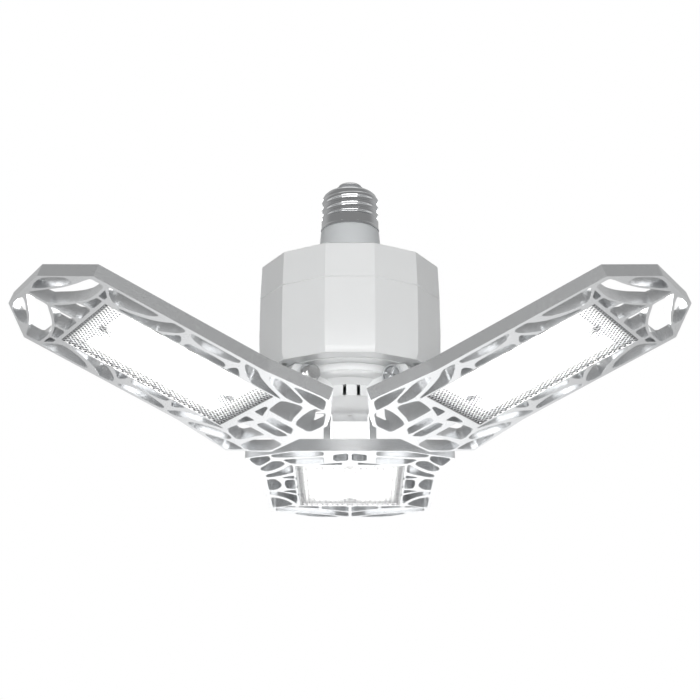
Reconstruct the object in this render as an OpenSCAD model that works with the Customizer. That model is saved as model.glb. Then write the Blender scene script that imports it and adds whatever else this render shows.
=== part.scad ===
// Ceiling light with three folding panels on a screw base.
// Millimetres, +Z up towards the lamp holder. The origin is on the centre line,
// at half the height of the smooth band under the thread.

/* [Screw base] */
// Radius of the smooth band, which the thread's crests don't pass
band_r = 13.1; // [12.9:0.05:13.3]
// Height of the smooth band
band_h = 4; // [3.5:0.5:6]
// Height of a thread crest above the shell's core
crest_h = 0.6; // [0.4:0.05:0.8]
// Rise of the thread in one turn
thread_pitch = 3.63; // [3.4:0.01:4]
// Turns of the thread
thread_turns = 3; // [2:1:4]
// Sheet thickness of the shell
shell_wall = 0.5; // [0.4:0.05:0.6]
// Height of the rolled rim under the band
rim_h = 1.2; // [0.8:0.1:1.6]
// How far the rolled rim stands out of the band
rim_out = 0.3; // [0.2:0.05:0.5]
// Height of the shell's shoulder above the thread
shoulder_h = 1.9; // [1.5:0.1:2.5]
// Radius of the shell's opening at the top
shoulder_r = 11; // [10.5:0.1:11.3]
// Radius of the contact on top
contact_r = 5.3; // [4.5:0.1:6]
// Height of the contact above its seat
contact_h = 1.3; // [1:0.1:2]
// Height of the insulator between the shell and the contact
insulator_h = 4.6; // [4:0.1:6]

/* [Neck] */
// Visible height of the neck, from the shell to the housing
neck_h = 19.4; // [16:0.1:28]
// Radius of the neck at the housing
neck_r = 13.9; // [13.6:0.1:14.4]
// Wall of the neck
neck_wall = 1.8; // [1.4:0.1:2]
// How far the neck's spigot reaches into the shell
spigot_h = 6; // [4:0.5:8]
// Radius of the neck's flange inside the housing
neck_flange_r = 19; // [17:0.5:22]

/* [Housing] */
// Distance from the centre line to a facet at the housing's waist
body_apothem = 39.9; // [38.5:0.1:42]
// Height of the housing
body_h = 50.4; // [44:0.1:56]
// Height of the upper shell, down to the seam
upper_h = 16.9; // [13:0.1:20]
// How far the facets lean in at the top
top_lean = 0.7; // [0.3:0.1:1.5]
// How far the facets lean in at the bottom
foot_lean = 0.3; // [0:0.1:1]
// Height of the bevel along the bottom edge
bevel_h = 2.9; // [1:0.1:4]
// Depth of the bevel along the bottom edge
bevel_in = 1; // [0.5:0.1:2]
// Wall of both shells
body_wall = 2.2; // [1.6:0.1:2.4]
// Facets round the housing
facets = 12; // [12:12:12]
// Width of the shoulder's chamfer at the top edge
shoulder_w = 3; // [2:0.5:4]
// Vent slots in the top
vents = 24; // [12:6:30]
// Width of a vent slot
vent_w = 2; // [1.5:0.1:2.5]
// Length of a vent slot
vent_l = 9; // [6:0.5:10]
// Length of the air opening in the floor outside each hinge
port_l = 10; // [6:0.5:14]
// Width of that opening
port_w = 4.4; // [3:0.1:4.4]

/* [Hub] */
// Distance from the centre line to a hinge
hinge_r = 27.1; // [26.9:0.1:28.5]
// Distance from the housing down to a hinge
hinge_drop = 5.1; // [5:0.1:6]
// Radius of the hub's flange
flange_r = 24; // [23:0.1:24]
// Thickness of the hub's flange
flange_t = 3.5; // [3:0.1:3.6]
// Radius of the hub's cup
cup_r = 15.5; // [14.5:0.1:16]
// Depth of the hub below the housing
hub_h = 12.6; // [12.2:0.1:13.5]
// Height of the slope from the flange to the cup
slope_h = 3.8; // [3:0.1:4.2]
// Wall of the hub's cup
cup_wall = 2.6; // [2:0.1:3]
// Width of a knuckle
knuckle_w = 16; // [15:0.1:16.2]
// Radius of a knuckle
knuckle_r = 6.9; // [6:0.1:7]
// Width of a slot in the cup
slot_w = 1.4; // [1:0.1:1.8]
// Height of a slot in the cup
slot_h = 4.8; // [4:0.1:5]
// Distance between the slots of a pair
slot_gap = 6; // [5:0.1:7]

/* [Hinge] */
// Inner distance between a panel's ears
ear_gap = 17.4; // [17.2:0.1:18]
// Thickness of an ear
ear_t = 3.2; // [3:0.1:3.6]
// Radius of an ear's round end
ear_r = 4.6; // [4.4:0.1:4.7]
// Radius of the hinge screw
screw_r = 2; // [1.5:0.1:2.2]
// Radius of the hinge screw's head
head_r = 3.4; // [3:0.1:3.5]
// Height of the hinge screw's head
head_h = 1.5; // [1.2:0.1:1.6]
// Radius of the cap nut
nut_r = 3.6; // [3.2:0.1:3.8]
// Length of the cap nut
nut_l = 5; // [4:0.1:6]
// Running clearance of the hinge screw
run_gap = 0.05; // [0.02:0.01:0.08]

/* [Panel] */
// Length of a panel, from its nose to its outer end
panel_l = 132.5; // [128:0.1:150]
// How far the nose reaches past the hinge towards the centre line
nose_l = 10.1; // [8:0.1:10.1]
// Thickness of a panel's frame
panel_t = 5.6; // [5.2:0.1:6.5]
// Distance from the hinge axis down to the panel's face
face_drop = 24.1; // [23:0.1:26]
// Half the width of the nose
nose_hw = 25.5; // [22:0.1:26]
// Half the width at the shoulder
shoulder_hw = 47.9; // [46:0.1:47.9]
// Distance of the shoulder from the nose, along the panel
shoulder_x = 12.1; // [12.1:0.1:15]
// Half the width at the kink behind the shoulder
kink_hw = 43.2; // [42.5:0.1:44]
// Distance of the kink from the nose
kink_x = 38.1; // [34:0.1:42]
// Depth of the small step at the kink
step_w = 0.5; // [0.2:0.1:0.8]
// Length of that step
step_l = 2.2; // [1:0.1:4]
// Half the width where the outer corner's cut starts
corner_hw = 41.7; // [40:0.1:42]
// Distance of that start from the outer end
corner_x = 15.4; // [12:0.1:18]
// Half the width of the outer end
end_hw = 18; // [15:0.1:20]
// Wall of the rim
rim_t = 1.6; // [1.3:0.1:1.9]

/* [Lens and board] */
// Length of the lens
lens_l = 78.4; // [74:0.1:80]
// Width of the lens
lens_w = 50.9; // [46:0.1:51.5]
// Thickness of the lens
lens_t = 2; // [1.6:0.1:2.2]
// Distance of the lens from the nose
lens_x = 26.7; // [26:0.1:28]
// Width of the ledge that carries the lens
ledge = 1.5; // [1:0.1:2]
// Depth of the heat plate's pad below the face
tray_d = 4.8; // [4.2:0.1:5]
// Thickness of the board in the tray
board_t = 1.2; // [1:0.1:1.6]
// Diodes along the board
diode_rows = 8; // [6:1:10]
// Diodes across the board
diode_columns = 5; // [4:1:6]
// Thickness of the heat plate behind the frame
plate_t = 1.2; // [1:0.1:1.5]
// Height of the heat plate's fins
fin_h = 1.3; // [1:0.1:1.6]
// Fins on the heat plate
fins = 9; // [6:1:12]

/* [Pose] */
// Tilt of the left and right panels above level
side_tilt = 20; // [0:1:80]
// Tilt of the back panel, on its lower stop
back_tilt = -1.6; // [-1.6:0.1:80]

/* [Driver] */
// Gap between the driver board and the housing's wall
driver_gap = 4.7; // [3:0.1:7]
// Height of the posts under the driver board
post_h = 8; // [6:0.5:10]
// Thickness of the driver board
driver_t = 1.6; // [1.2:0.1:2]

/* [Hidden] */
$fn = 64;

// One overrun for every cut, and the clearance of parts that only sit together
over = 1;
fit_gap = 0.1;

// Directions of the three panels, and half a facet of the housing
left_az = 210;
right_az = 330;
back_az = 90;
panel_azs = [left_az, right_az, back_az];
half_facet = 180 / facets;

// Heights, from the origin up and down
core_r = band_r - crest_h;
band_top = band_h / 2;
rim_top = -band_h / 2;
rim_bottom = rim_top - rim_h;
thread_top = band_top + (thread_turns + 0.1) * thread_pitch;
shoulder_top = thread_top + shoulder_h;
insulator_seat = shoulder_top - shell_wall;
insulator_top = insulator_seat + insulator_h;
body_top = rim_bottom - neck_h;
body_bottom = body_top - body_h;
seam_z = body_top - upper_h;
hinge_z = body_bottom - hinge_drop;
hub_bottom = body_bottom - hub_h;

// Screw base details
// Shares of the ridge's height and of the pitch
ridge_shares = [[0, 0.3], [0.3, 0.4], [0.8, 0.52], [1, 0.65], [0.8, 0.78], [0.3, 0.9], [0, 1]];
contact_stem_r = contact_r * 0.3;
contact_edge = contact_h * 0.45;
insulator_foot = 1.4;
insulator_seat_t = 2;

// Neck details
neck_top_r = neck_r * 0.965;
neck_flange_t = 2;

// Housing details
top_t = body_wall;
seam_a = body_apothem - top_lean * 0.15;
seam_edge = 0.3;
skirt_h = 4;
skirt_t = 1.5;
floor_t = 2.6;
step_out = 3.4;
step_in = 8.9;
step_out_r = body_apothem - step_out;
step_in_r = body_apothem - step_in;
step_d = 0.4;
vent_mid_r = body_apothem * 0.72;
port_in = 0.3;
port_at = body_apothem - body_wall - port_in - port_w / 2;
crown_h = shoulder_w / 2;
post_r = 3;
post_bore_r = 1.1;
post_gap = 1.85;

// Driver details
driver_r = body_apothem - body_wall - driver_gap;
driver_z = body_bottom + floor_t + post_h;
transformer_size = [20, 18, 17];
transformer_at_share = [-0.42, -0.06];
core_band = 6;
coil_r = 7;
coil_hole_r = 3.2;
coil_h = 8;
coil_at_share = [-0.36, -0.59];
// Capacitors: radius and height, then their places
cap_sizes = [[6.3, 20], [5, 16], [4, 12]];
cap_at_shares = [[0.48, -0.36], [0.58, 0.09], [0.36, 0.48]];
cap_foot = 1.2;
// Power chips: length, width and height, then their places
chip_sizes = [[9, 4, 3], [6, 5, 2], [8, 5, 2.4]];
chip_at_shares = [[0.12, 0.73], [-0.3, 0.48], [0.27, -0.76]];
driver_screw_r = 1;
driver_screw_head_r = 2;
driver_screw_head_h = 1.2;
driver_top = driver_z + driver_t;

// Hub details
cup_edge = 0.6;
cup_bore_r = cup_r - cup_wall;
hub_floor = 2;
slot_shift = 0.65;
hub_screw_in = 0.6;
hub_screw_at = (flange_r + cup_r) / 2 - hub_screw_in;
hub_screw_r = 1.25;
hub_screw_head_r = 2.4;
hub_screw_head_h = 1.3;
post_at = hub_screw_at + hub_screw_head_r + post_gap + post_r;
hub_thread_l = flange_t * 0.7;
washer_gap = 0.3;
washer_in = 0.3;
washer_r = ear_r - washer_in;

// Hinge details
ear_out = ear_gap / 2 + ear_t;
head_room = 0.45;
head_sink = 0.3;
head_pocket_r = head_r + head_room;
head_pocket_d = head_h + head_sink;
nut_seat_d = 0.8;
nut_edge = 0.5;
cross_w = 0.8;
cross_l = head_r * 1.15;
cross_d = head_h * 0.6;
cross_turns = [45, 135];
ear_foot_in = 0.9;
ear_foot_out = 4;
ear_flare_h = 2.4;

// Leads
lead_r = 0.8;
lead_gap = 0.2;
lead_in = 2;
lead_way_r = (cup_r + hinge_r - screw_r) / 2 - lead_in;

// Panel details
face_z = -face_drop;
back_z = face_z + panel_t;
nose_x = -nose_l;
end_x = nose_x + panel_l;
lens_in = nose_x + lens_x;
lens_out = lens_in + lens_l;
bezel = 1.25;
tray_in = lens_in - bezel;
tray_out = lens_out + bezel;
tray_hw = lens_w / 2 + bezel;
board_z = face_z + tray_d - board_t;
fin_t = 1.2;
plate_inset = 0.2;
plate_top = back_z + plate_t;
tab_l = 4;
tab_out = 0.6;
tab_pitch = lens_l * 0.205;
lens_gap = 0.15;
board_gap = 0.4;
board_hole_r = 1.4;
board_screw_r = 1.2;
board_screw_head_r = 2.2;
board_screw_head_h = 0.9;
board_screw_in = 9;
board_screw_l = 2.6;
board_screw_xs = [lens_in + board_screw_in, lens_out - board_screw_in];
plate_screw_r = 0.6;
plate_screw_head_r = 1.1;
plate_screw_head_h = 0.6;
plate_screw_l = 2.5;
plate_screw_w = (lens_w / 2 - ledge + tray_hw) / 2;
plate_screw_xs = [lens_in + 2 * plate_screw_head_r, lens_out - 2 * plate_screw_head_r];
diode_l = 3.5;
diode_w = 2.8;
diode_t = 0.7;
lead_x = lens_in + ledge + board_gap + 2 * lead_r;

// Corners of a panel's half outline, from the nose to the outer end
half_outline = [[nose_x, nose_hw], [nose_x + shoulder_x, shoulder_hw],
    [nose_x + kink_x, kink_hw], [nose_x + kink_x + step_l, kink_hw - step_w],
    [end_x - corner_x, corner_hw], [end_x, end_hw]];

// Cells between the nose and the lens: shares of the way from the nose to the
// tray, and of the way from an ear's outer face to the shoulder
nose_cell_shares = [
    [[0.04, 0], [0.04, 0.34], [0.14, 0.5], [0.23, 0.63], [0.31, 0.67], [0.44, 0.64], [0.45, 0.5],
        [0.42, 0.28], [0.37, 0.1], [0.31, 0]],
    [[0.4, 0], [0.47, 0.16], [0.52, 0.35], [0.57, 0.5], [0.64, 0.52], [0.83, 0.44], [0.9, 0.38],
        [0.89, 0.22], [0.86, 0.06], [0.84, 0]],
    [[0.34, 0.71], [0.41, 0.84], [0.48, 0.93], [0.59, 0.95], [0.79, 0.92], [0.99, 0.87],
        [1.02, 0.84], [0.91, 0.79], [0.71, 0.71], [0.57, 0.68], [0.37, 0.69]],
    [[0.67, 0.6], [0.69, 0.55], [0.77, 0.52], [0.91, 0.51], [1.08, 0.56], [1.28, 0.65],
        [1.38, 0.71], [1.42, 0.76], [1.39, 0.81], [1.27, 0.84], [1.12, 0.82], [0.93, 0.75],
        [0.78, 0.7], [0.7, 0.66]]];

// Cells between the ears: the same first share, and a share of an ear's outer face
mid_cell_shares = [
    [[0.16, 0.07], [0.24, 0.54], [0.29, 0.64], [0.63, 0.65], [0.7, 0.5], [0.66, 0.07]],
    [[0.79, 0.31], [0.83, 0.59], [0.89, 1.13], [0.93, 1.18], [0.95, 1.05], [0.96, 0.31]]];

// Cells beside the lens: shares of the lens's length, and of the way from the
// tray to the rim
side_cell_shares = [
    [[-0.03, 0.07], [-0.025, 0], [0.135, 0], [0.17, 0.14], [0.21, 0.4], [0.245, 0.69],
        [0.265, 0.93], [0.255, 1], [0.205, 1], [0.18, 0.89], [0.15, 0.69], [0.105, 0.5],
        [0.05, 0.31], [0, 0.17]],
    [[0.215, 0], [0.25, 0.34], [0.265, 0.43], [0.28, 0.4], [0.295, 0.14], [0.295, 0]],
    [[0.29, 0.9], [0.295, 0.75], [0.32, 0.66], [0.375, 0.55], [0.44, 0.5], [0.495, 0.54],
        [0.55, 0.66], [0.575, 0.79], [0.585, 0.93], [0.575, 1], [0.3, 1]],
    [[0.315, 0], [0.32, 0.22], [0.34, 0.34], [0.395, 0.37], [0.45, 0.38], [0.515, 0.35],
        [0.545, 0.29], [0.555, 0.11], [0.555, 0]],
    [[0.58, 0], [0.585, 0.23], [0.605, 0.46], [0.62, 0.47], [0.64, 0.25], [0.67, 0.04], [0.67, 0]],
    [[0.615, 0.89], [0.62, 0.72], [0.64, 0.5], [0.675, 0.25], [0.71, 0.05], [0.73, 0], [0.925, 0],
        [0.94, 0.04], [0.925, 0.11], [0.87, 0.2], [0.815, 0.35], [0.77, 0.51], [0.725, 0.76],
        [0.7, 0.96], [0.69, 1], [0.63, 1]],
    [[0.775, 0.9], [0.785, 0.78], [0.81, 0.61], [0.86, 0.42], [0.915, 0.28], [0.955, 0.22],
        [0.98, 0.25], [1.01, 0.42], [1.035, 0.66], [1.055, 0.89], [1.05, 1], [0.78, 1]]];

// Cells past the lens: shares of the way from the tray to the outer end, and of
// the half width at the outer corner
end_cell_shares = [
    [[0.02, 0.02], [0.5, 0.02], [0.4, 0.12], [0.31, 0.24], [0.24, 0.35], [0.02, 0.35]],
    [[0.02, 0.39], [0.21, 0.39], [0.15, 0.53], [0.12, 0.64], [0.02, 0.64]],
    [[0.02, 0.68], [0.12, 0.68], [0.13, 0.82], [0.13, 0.87], [0.09, 0.83], [0.02, 0.76]],
    [[0.18, 0.93], [0.17, 0.72], [0.19, 0.53], [0.26, 0.38], [0.36, 0.24], [0.49, 0.1],
        [0.56, 0.02], [0.92, 0.02], [0.85, 0.12], [0.77, 0.24], [0.68, 0.36], [0.6, 0.48],
        [0.54, 0.6], [0.49, 0.72], [0.45, 0.84], [0.41, 0.93]],
    [[0.56, 0.68], [0.57, 0.61], [0.63, 0.5], [0.71, 0.4], [0.8, 0.26], [0.87, 0.18], [0.92, 0.14],
        [0.95, 0.23], [0.95, 0.35], [0.92, 0.45], [0.86, 0.53], [0.76, 0.63], [0.68, 0.69]]];

// Cuts each corner of a closed outline by a share of its two sides
corner_share = 0.15;
function eased(points) = [for (i = [0 : len(points) - 1])
    let (q = points[(i + 1) % len(points)])
        each [points[i] + corner_share * (q - points[i]), q - corner_share * (q - points[i])]];
function nose_cell(shares) = eased([for (p = shares)
    [nose_x + p[0] * (tray_in - nose_x), ear_out + p[1] * (shoulder_hw - ear_out)]]);
function mid_cell(shares) = eased([for (p = shares)
    [nose_x + p[0] * (tray_in - nose_x), p[1] * ear_out]]);
function side_cell(shares) = eased([for (p = shares)
    [lens_in + p[0] * lens_l, tray_hw + p[1] * (corner_hw - rim_t - tray_hw)]]);
function end_cell(shares) = eased([for (p = shares)
    [tray_out + p[0] * (end_x - tray_out), p[1] * corner_hw]]);
function mirrored(points) = [for (i = [len(points) - 1 : -1 : 0]) [points[i][0], -points[i][1]]];

// A shape with flat facets all round; the outline gives each point's distance
// from the centre line to the facet, and its height
module faceted(outline) {
    rotate(half_facet)
        rotate_extrude($fn = facets)
            polygon([for (q = outline) [q[0] / cos(half_facet), q[1]]]);
}

// A round bar across a panel, from w0 to w1
module cross_bar(w0, w1, r) {
    translate([0, w0, 0])
        rotate([-90, 0, 0])
            cylinder(h = w1 - w0, r = r);
}

// Puts a panel's piece, drawn level with its hinge at the origin, in its place
module placed(az, tilt) {
    rotate([0, 0, az])
        translate([hinge_r, 0, hinge_z])
            rotate([0, -tilt, 0])
                children();
}

// Screw base

// The thread's outline: a rounded ridge for each turn, from the band upwards
function ridge(i) = [for (q = ridge_shares)
    [core_r + q[0] * (crest_h - run_gap), band_top + (i + q[1]) * thread_pitch]];

module screw_shell() {
    color("silver")
        rotate_extrude()
            polygon(concat(
                [[core_r - shell_wall, rim_bottom], [band_r + rim_out, rim_bottom],
                    [band_r + rim_out, rim_top - rim_out], [band_r, rim_top], [band_r, band_top],
                    [core_r, band_top + crest_h * 0.5]],
                [for (i = [0 : thread_turns - 1]) each ridge(i)],
                [[core_r, thread_top], [shoulder_r + shell_wall, shoulder_top - shell_wall],
                    [shoulder_r, shoulder_top], [shoulder_r - shell_wall, shoulder_top],
                    [shoulder_r - shell_wall, shoulder_top - 2 * shell_wall],
                    [core_r - shell_wall, thread_top - shell_wall]]));
}

module base_insulator() {
    color("dimgray")
        rotate_extrude()
            polygon([[contact_stem_r + fit_gap, insulator_seat - insulator_seat_t],
                [shoulder_r - shell_wall - fit_gap, insulator_seat - insulator_seat_t],
                [shoulder_r - shell_wall - fit_gap, insulator_seat + insulator_foot * 0.4],
                [shoulder_r * 0.86, insulator_seat + insulator_h * 0.28],
                [shoulder_r * 0.7, insulator_seat + insulator_h * 0.52],
                [shoulder_r * 0.58, insulator_seat + insulator_h * 0.78],
                [contact_r, insulator_top], [contact_stem_r + fit_gap, insulator_top]]);
}

module contact_tip() {
    color("lightgray")
        rotate_extrude()
            polygon([[0, insulator_seat - insulator_seat_t],
                [contact_stem_r, insulator_seat - insulator_seat_t],
                [contact_stem_r, insulator_top], [contact_r, insulator_top],
                [contact_r, insulator_top + contact_edge * 0.4],
                [contact_r * 0.85, insulator_top + contact_h * 0.75],
                [contact_r * 0.6, insulator_top + contact_h], [0, insulator_top + contact_h]]);
}

// Neck and housing

module neck() {
    color("gainsboro")
        rotate_extrude()
            polygon([[neck_r - neck_wall, body_top - top_t - neck_flange_t],
                [neck_flange_r, body_top - top_t - neck_flange_t], [neck_flange_r, body_top - top_t],
                [neck_r, body_top - top_t], [neck_r, rim_bottom - neck_h * 0.35],
                [neck_top_r, rim_bottom - rim_h], [neck_top_r - rim_out, rim_bottom],
                [core_r - shell_wall - fit_gap, rim_bottom],
                [core_r - shell_wall - fit_gap, rim_bottom + spigot_h],
                [core_r - shell_wall - fit_gap - neck_wall / 2, rim_bottom + spigot_h],
                [core_r - shell_wall - fit_gap - neck_wall / 2, rim_bottom],
                [neck_r - neck_wall, rim_bottom - neck_wall]]);
}

module upper_shell() {
    skirt_a = body_apothem - body_wall - fit_gap;
    color("whitesmoke")
        difference() {
            faceted([[seam_a - seam_edge, seam_z], [seam_a, seam_z + seam_edge],
                [body_apothem - top_lean, body_top - crown_h],
                [body_apothem - top_lean - shoulder_w, body_top],
                [neck_r + fit_gap, body_top], [neck_r + fit_gap, body_top - top_t],
                [skirt_a - skirt_t, body_top - top_t], [skirt_a - skirt_t, seam_z - skirt_h],
                [skirt_a, seam_z - skirt_h], [skirt_a, seam_z]]);
            translate([0, 0, body_top - top_t - over])
                cylinder(h = top_t + 2 * over, r = neck_r / cos(half_facet) + fit_gap);
            for (i = [0 : vents - 1])
                rotate(360 * (i + 0.5) / vents)
                    translate([vent_mid_r - vent_l / 2, -vent_w / 2, body_top - top_t - over])
                        cube([vent_l, vent_w, top_t + 2 * over]);
        }
}

module lower_shell() {
    waist_z = (seam_z + body_bottom) / 2;
    foot_a = body_apothem - foot_lean;
    floor_top = body_bottom + floor_t;
    color("white")
        difference() {
            union() {
                faceted([[0, body_bottom], [foot_a - bevel_in, body_bottom],
                    [foot_a, body_bottom + bevel_h], [body_apothem, waist_z],
                    [seam_a, seam_z - seam_edge], [seam_a - seam_edge, seam_z],
                    [body_apothem - body_wall, seam_z], [body_apothem - body_wall, floor_top],
                    [0, floor_top]]);
                for (a = panel_azs)
                    rotate(a + 180)
                        translate([post_at, 0, floor_top - floor_t / 2])
                            cylinder(h = floor_t / 2 + post_h, r = post_r);
            }
            difference() {
                translate([0, 0, body_bottom - over]) cylinder(h = step_d + over, r = step_out_r);
                translate([0, 0, body_bottom - 2 * over])
                    cylinder(h = step_d + 4 * over, r = step_in_r);
            }
            for (a = panel_azs) {
                rotate(a + 180) {
                    translate([post_at, 0, floor_top]) cylinder(h = post_h + over, r = post_bore_r);
                    translate([hub_screw_at, 0, body_bottom - over])
                        cylinder(h = floor_t + 2 * over, r = hub_screw_r + fit_gap);
                }
                rotate(a)
                    translate([0, 0, body_bottom - over]) {
                        translate([lead_way_r, 0, 0])
                            cylinder(h = floor_t + 2 * over, r = lead_r + lead_gap);
                        linear_extrude(height = floor_t + 2 * over) port_shape();
                    }
            }
        }
}

// A slot with round ends, across the panel's direction
module port_shape() {
    reach = (port_l - port_w) / 2;
    for (s = [-1, 1])
        translate([port_at, s * reach])
            circle(r = port_w / 2);
    translate([port_at - port_w / 2, -reach])
        square([port_w, 2 * reach]);
}

// Driver inside the housing

// Stands a part on the driver board, at shares of the board's radius
module on_board(at_share) {
    translate([at_share[0] * driver_r, at_share[1] * driver_r, driver_top])
        children();
}

module driver_board() {
    color("seagreen")
        difference() {
            translate([0, 0, driver_z]) cylinder(h = driver_t, r = driver_r);
            for (a = panel_azs)
                rotate(a + 180)
                    translate([post_at, 0, driver_z - over])
                        cylinder(h = driver_t + 2 * over, r = driver_screw_r + fit_gap);
        }
}

module driver_screws() {
    color("lightsteelblue")
        for (a = panel_azs)
            rotate(a + 180)
                translate([post_at, 0, 0]) {
                    translate([0, 0, driver_top]) cylinder(h = driver_screw_head_h, r = driver_screw_head_r);
                    translate([0, 0, driver_z - post_h / 2])
                        cylinder(h = post_h / 2 + driver_t + over / 2, r = driver_screw_r);
                }
}

module transformer() {
    color("goldenrod")
        on_board(transformer_at_share) {
            translate([-transformer_size[0] / 2, -transformer_size[1] / 2, core_band])
                cube([transformer_size[0], transformer_size[1], transformer_size[2] - 2 * core_band]);
            for (z = [0, transformer_size[2] - core_band])
                translate([-transformer_size[0] / 2, -transformer_size[1] * 0.35, z])
                    cube([transformer_size[0], transformer_size[1] * 0.7, core_band]);
        }
}

module capacitors() {
    color("midnightblue")
        for (i = [0 : len(cap_sizes) - 1])
            on_board(cap_at_shares[i]) {
                cylinder(h = cap_foot, r = cap_sizes[i][0] * 0.9);
                translate([0, 0, cap_foot]) cylinder(h = cap_sizes[i][1] - cap_foot, r = cap_sizes[i][0]);
            }
}

module choke_coil() {
    color("peru")
        on_board(coil_at_share)
            difference() {
                cylinder(h = coil_h, r = coil_r);
                translate([0, 0, -over]) cylinder(h = coil_h + 2 * over, r = coil_hole_r);
            }
}

module power_chips() {
    color("black")
        for (i = [0 : len(chip_sizes) - 1])
            on_board(chip_at_shares[i])
                translate([-chip_sizes[i][0] / 2, -chip_sizes[i][1] / 2, 0])
                    cube(chip_sizes[i]);
}

// A bent wire along a path of points, with a ball at each bend
module wire(path) {
    for (i = [0 : len(path) - 2]) {
        d = path[i + 1] - path[i];
        translate(path[i])
            rotate([0, acos(d[2] / norm(d)), atan2(d[1], d[0])])
                cylinder(h = norm(d), r = lead_r);
        if (i > 0) translate(path[i]) sphere(r = lead_r);
    }
}

module base_leads() {
    shell_lead_r = core_r - shell_wall - fit_gap - neck_wall / 2 - lead_r - fit_gap;
    shell_lead_z = rim_bottom + spigot_h + lead_r + fit_gap;
    color("firebrick") {
        wire([[0, 0, driver_top], [0, 0, insulator_seat - insulator_seat_t]]);
        wire([[shell_lead_r, 0, driver_top], [shell_lead_r, 0, shell_lead_z],
            [core_r - shell_wall - fit_gap, 0, shell_lead_z]]);
    }
}

module panel_leads() {
    color("ivory")
        for (a = panel_azs)
            rotate(a)
                wire([[lead_way_r, 0, driver_z], [lead_way_r, 0, hinge_z - knuckle_r]]);
}

// Hub

module knuckle_shape() {
    intersection() {
        union() {
            translate([0, -knuckle_w / 2, hinge_z - knuckle_r])
                cube([hinge_r, knuckle_w, knuckle_r + hinge_drop]);
            translate([hinge_r, 0, hinge_z]) cross_bar(-knuckle_w / 2, knuckle_w / 2, knuckle_r);
        }
        translate([0, -knuckle_w, hinge_z - 2 * knuckle_r])
            cube([hinge_r + 2 * knuckle_r, 2 * knuckle_w, 2 * knuckle_r + hinge_drop]);
    }
}

module hub() {
    color("white")
        difference() {
            union() {
                rotate_extrude()
                    polygon([[0, hub_bottom], [cup_r - cup_edge, hub_bottom], [cup_r, hub_bottom + cup_edge],
                        [cup_r, body_bottom - flange_t - slope_h],
                        [cup_r + (flange_r - cup_r) * 0.35, body_bottom - flange_t - slope_h * 0.35],
                        [flange_r - cup_edge, body_bottom - flange_t],
                        [flange_r, body_bottom - flange_t + cup_edge], [flange_r, body_bottom],
                        [0, body_bottom]]);
                for (a = panel_azs)
                    rotate(a) knuckle_shape();
            }
            translate([0, 0, hub_bottom + hub_floor]) cylinder(h = hub_h + over, r = cup_bore_r);
            for (a = panel_azs)
                rotate(a) {
                    translate([hinge_r, 0, hinge_z])
                        cross_bar(-knuckle_w / 2 - over, knuckle_w / 2 + over, screw_r + run_gap);
                    translate([lead_way_r, 0, hinge_z - knuckle_r - over])
                        cylinder(h = knuckle_r + hinge_drop + 2 * over, r = lead_r + lead_gap);
                    rotate(180)
                        translate([hub_screw_at, 0, body_bottom - hub_thread_l])
                            cylinder(h = hub_thread_l + over, r = hub_screw_r + fit_gap);
                    rotate(180)
                        for (s = [-1, 1])
                            translate([0, slot_shift + s * slot_gap / 2 - slot_w / 2, hub_bottom + cup_edge])
                                cube([cup_r + over, slot_w, slot_h]);
                }
        }
}

module hub_screws() {
    color("lightsteelblue")
        for (a = panel_azs)
            rotate(a + 180)
                translate([hub_screw_at, 0, body_bottom]) {
                    translate([0, 0, floor_t]) cylinder(h = hub_screw_head_h, r = hub_screw_head_r);
                    translate([0, 0, fit_gap - hub_thread_l])
                        cylinder(h = hub_thread_l + floor_t + hub_screw_head_h / 2, r = hub_screw_r);
                }
}

module hinge_washers() {
    color("silver")
        for (a = panel_azs)
            rotate(a)
                translate([hinge_r, 0, hinge_z])
                    for (s = [0, 1])
                        mirror([0, s, 0])
                            difference() {
                                cross_bar(knuckle_w / 2, ear_gap / 2 - washer_gap, washer_r);
                                cross_bar(0, ear_gap, screw_r + run_gap);
                            }
}

// Panel pieces, drawn level with the hinge axis at the origin

module ear_shape() {
    // Seen from the side: a round end on a foot that spreads into the panel
    circle(r = ear_r);
    polygon([[-ear_r, 0], [nose_x + ear_foot_in, back_z + ear_flare_h],
        [nose_x + ear_foot_in, back_z - over], [ear_r + ear_foot_out, back_z - over],
        [ear_r + ear_foot_out, back_z], [ear_r, back_z + ear_flare_h], [ear_r, 0]]);
}

module ear(w0) {
    translate([0, w0 + ear_t, 0])
        rotate([90, 0, 0])
            linear_extrude(height = ear_t) ear_shape();
}

module web() {
    difference() {
        polygon(concat(half_outline, mirrored(half_outline)));
        for (c = nose_cell_shares, m = [0, 1]) mirror([0, m]) polygon(nose_cell(c));
        for (c = mid_cell_shares, m = [0, 1]) mirror([0, m]) polygon(mid_cell(c));
        for (c = side_cell_shares, m = [0, 1]) mirror([0, m]) polygon(side_cell(c));
        for (c = end_cell_shares, m = [0, 1]) mirror([0, m]) polygon(end_cell(c));
    }
}

module lens_shape(grow, inset) {
    translate([lens_in - grow + inset, -lens_w / 2 - grow + inset])
        square([lens_l + 2 * grow - 2 * inset, lens_w + 2 * grow - 2 * inset]);
}

module tab_shape(grow) {
    tab_reach = lens_w / 2 + tab_out + grow;
    for (i = [-1 : 1])
        translate([(lens_in + lens_out) / 2 + i * tab_pitch - tab_l / 2 - grow, -tab_reach])
            square([tab_l + 2 * grow, 2 * tab_reach]);
}

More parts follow.
